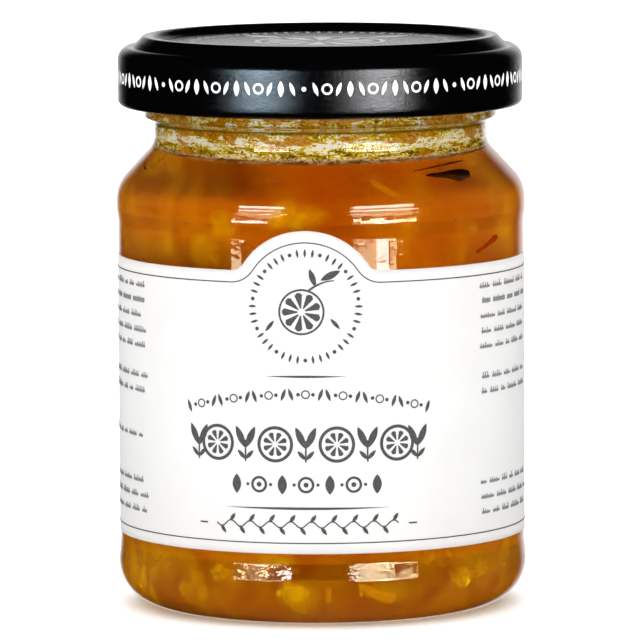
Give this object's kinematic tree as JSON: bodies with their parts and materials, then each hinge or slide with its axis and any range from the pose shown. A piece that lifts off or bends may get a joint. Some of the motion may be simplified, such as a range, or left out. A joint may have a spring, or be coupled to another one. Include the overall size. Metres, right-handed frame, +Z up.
{
  "type": "marmalade jar",
  "caption": "Shut glass jar of orange marmalade with rolled shoulders, a black twist-off lid and a white wrap label that has a round tab.",
  "frame": {"origin": "middle of the base, on the plane of the ring the jar stands on", "axes": "+Z up along the jar's axis; the label's round tab faces -Y; +X to the right when facing the label"},
  "size_m": [0.056, 0.056, 0.0781],
  "materials": {
    "clear_glass": "clear pressed glass, bright and smooth",
    "orange_marmalade": "translucent set marmalade, amber with darker and yellower patches",
    "black_lacquer": "satin black lacquer on tinplate",
    "white_paper": "smooth matt white label paper with fine dark print"
  },
  "bodies": {
    "root": {"glass_jar": "clear_glass", "marmalade": "orange_marmalade", "lid": "black_lacquer", "label": "white_paper"}
  },
  "joints": []
}
